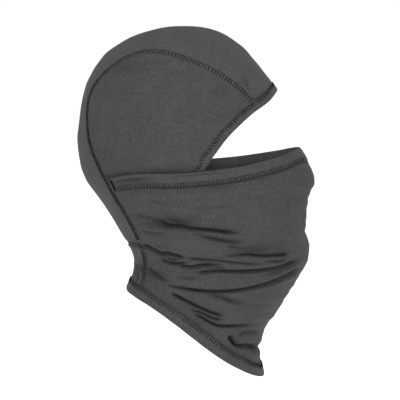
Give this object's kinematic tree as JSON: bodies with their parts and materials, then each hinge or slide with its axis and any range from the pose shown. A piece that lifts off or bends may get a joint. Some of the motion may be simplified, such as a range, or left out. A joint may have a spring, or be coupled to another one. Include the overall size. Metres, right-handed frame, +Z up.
{
  "type": "balaclava",
  "caption": "Hooded balaclava of stretch jersey that covers head, nose, face and neck; its face mask hinges down below the chin from two points behind the ears.",
  "frame": {"origin": "the inside of the crown, in the plane of symmetry, where the hood rests on top of the wearer's head", "axes": "+X the way the face looks, +Y the wearer's left, +Z up"},
  "size_m": [0.2361, 0.153, 0.3507],
  "materials": {
    "jersey": "charcoal fine-gauge stretch jersey, matt with a faint sheen",
    "hem_jersey": "the same jersey folded double and topstitched",
    "thread": "dark textured polyester sewing thread"
  },
  "bodies": {
    "hood": {"crown_panel": "jersey", "side_panel_right": "jersey", "side_panel_left": "jersey", "mask_panel": "jersey", "face_hem": "hem_jersey", "neck_hem": "hem_jersey", "crown_seam_right": "thread", "crown_seam_left": "thread", "face_hem_stitching": "thread", "neck_hem_stitching": "thread", "bar_tack_right": "thread", "bar_tack_left": "thread"},
    "nose_band": {"nose_hem": "hem_jersey", "nose_hem_stitching": "thread"}
  },
  "joints": [
    {"name": "mask_pull_down", "type": "hinge", "parent": "hood", "child": "nose_band", "pos_m": [-0.064, 0, -0.161], "axis": [0, 1, 0], "range_deg": [0, 33], "deforming": ["mask_panel"]}
  ]
}
